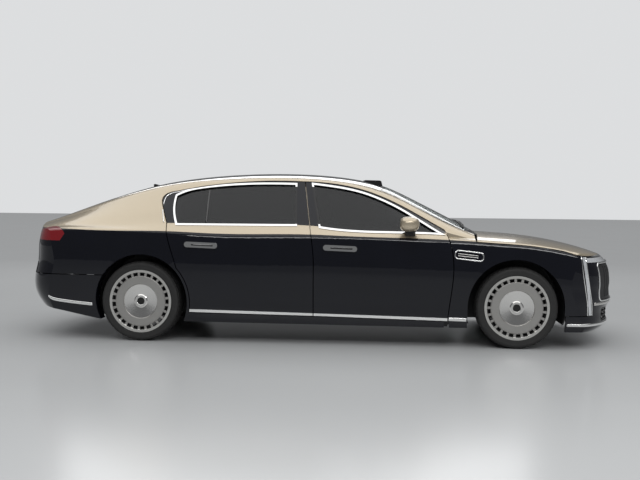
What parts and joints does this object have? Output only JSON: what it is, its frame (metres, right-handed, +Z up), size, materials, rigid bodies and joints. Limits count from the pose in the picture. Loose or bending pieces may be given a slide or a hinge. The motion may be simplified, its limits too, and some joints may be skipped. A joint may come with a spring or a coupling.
{
  "type": "luxury sedan",
  "caption": "Long two-tone four-door luxury sedan with a tall slatted grille, glass roof and slotted disc wheels; doors, hood, trunk, steering and wheels move.",
  "frame": {"origin": "on the floor below the middle of the car's length and width", "axes": "+X forward, +Y to the car's left side, +Z up"},
  "size_m": [5.4798, 2.258, 1.5453],
  "materials": {
    "body_paint": "gloss",
    "lower_paint": "gloss",
    "black_gloss": "gloss",
    "dark_plastic": "matte",
    "dark_steel": "satin",
    "tinted_glass": "gloss",
    "bright_trim": "polished",
    "wheel_metal": "satin",
    "tyre": "matte",
    "lamp_clear": "gloss",
    "lamp_red": "gloss",
    "hide": "satin"
  },
  "bodies": {
    "chassis": {"body_side_right": "body_paint", "body_side_left": "body_paint", "fender_right": "body_paint", "fender_left": "body_paint", "roof": "black_gloss", "windshield": "tinted_glass", "rear_window": "tinted_glass", "cowl": "dark_plastic", "front_bumper": "lower_paint", "grille": "dark_plastic", "lower_grille": "dark_plastic", "headlamps": "lamp_clear", "tail_lamps": "lamp_red", "rear_bumper": "lower_paint", "floor_panel": "dark_plastic", "firewall": "dark_plastic", "rear_bulkhead": "dark_plastic", "parcel_shelf": "dark_plastic", "boot_floor": "dark_plastic", "front_rails": "dark_plastic", "front_liners": "dark_plastic", "rear_liners": "dark_plastic", "power_unit": "dark_steel", "front_subframe": "dark_steel", "rear_subframe": "dark_steel", "dashboard": "dark_plastic", "steering_wheel": "hide", "seats": "hide", "roof_sensors": "black_gloss"},
    "hood": {"hood": "body_paint"},
    "trunk_lid": {"trunk_lid": "body_paint"},
    "knuckle_right": {"knuckle_right": "dark_steel"},
    "knuckle_left": {"knuckle_left": "dark_steel"},
    "door_front_right": {"door_front_right": "lower_paint", "glass_front_right": "tinted_glass", "trim_front_right": "bright_trim", "mirror_right": "body_paint"},
    "door_rear_right": {"door_rear_right": "lower_paint", "glass_rear_right": "tinted_glass", "trim_rear_right": "bright_trim"},
    "wheel_front_right": {"rim_front_right": "wheel_metal", "tyre_front_right": "tyre"},
    "wheel_rear_right": {"rim_rear_right": "wheel_metal", "tyre_rear_right": "tyre"},
    "door_front_left": {"door_front_left": "lower_paint", "glass_front_left": "tinted_glass", "trim_front_left": "bright_trim", "mirror_left": "body_paint"},
    "door_rear_left": {"door_rear_left": "lower_paint", "glass_rear_left": "tinted_glass", "trim_rear_left": "bright_trim"},
    "wheel_front_left": {"rim_front_left": "wheel_metal", "tyre_front_left": "tyre"},
    "wheel_rear_left": {"rim_rear_left": "wheel_metal", "tyre_rear_left": "tyre"}
  },
  "joints": [
    {"name": "steer_right", "type": "hinge", "parent": "chassis", "child": "knuckle_right", "pos_m": [1.785, -0.765, 0.362], "axis": [0, 0, 1], "range_deg": [-35, 35]},
    {"name": "wheel_front_right_spin", "type": "hinge", "parent": "knuckle_right", "child": "wheel_front_right", "pos_m": [1.785, -0.8405, 0.362], "axis": [0, 1, 0], "continuous": true},
    {"name": "wheel_rear_right_spin", "type": "hinge", "parent": "chassis", "child": "wheel_rear_right", "pos_m": [-1.585, -0.8405, 0.362], "axis": [0, 1, 0], "continuous": true},
    {"name": "door_front_right_hinge", "type": "hinge", "parent": "chassis", "child": "door_front_right", "pos_m": [1.16, -0.972, 0.648], "axis": [0, 0, 1], "range_deg": [0, 65]},
    {"name": "door_rear_right_hinge", "type": "hinge", "parent": "chassis", "child": "door_rear_right", "pos_m": [-0.077, -0.972, 0.648], "axis": [0, 0, 1], "range_deg": [0, 70]},
    {"name": "steer_left", "type": "hinge", "parent": "chassis", "child": "knuckle_left", "pos_m": [1.785, 0.765, 0.362], "axis": [0, 0, 1], "range_deg": [-35, 35]},
    {"name": "wheel_front_left_spin", "type": "hinge", "parent": "knuckle_left", "child": "wheel_front_left", "pos_m": [1.785, 0.8405, 0.362], "axis": [0, 1, 0], "continuous": true},
    {"name": "wheel_rear_left_spin", "type": "hinge", "parent": "chassis", "child": "wheel_rear_left", "pos_m": [-1.585, 0.8405, 0.362], "axis": [0, 1, 0], "continuous": true},
    {"name": "door_front_left_hinge", "type": "hinge", "parent": "chassis", "child": "door_front_left", "pos_m": [1.16, 0.972, 0.648], "axis": [0, 0, -1], "range_deg": [0, 65]},
    {"name": "door_rear_left_hinge", "type": "hinge", "parent": "chassis", "child": "door_rear_left", "pos_m": [-0.077, 0.972, 0.648], "axis": [0, 0, -1], "range_deg": [0, 70]},
    {"name": "hood_hinge", "type": "hinge", "parent": "chassis", "child": "hood", "pos_m": [1.338, 0, 0.93], "axis": [0, -1, 0], "range_deg": [0, 50]},
    {"name": "trunk_lid_hinge", "type": "hinge", "parent": "chassis", "child": "trunk_lid", "pos_m": [-2.08, 0, 1.228], "axis": [0, 1, 0], "range_deg": [0, 65]}
  ],
  "couplings": [
    {"joint": "steer_left", "follows": "steer_right", "ratio": 1}
  ]
}
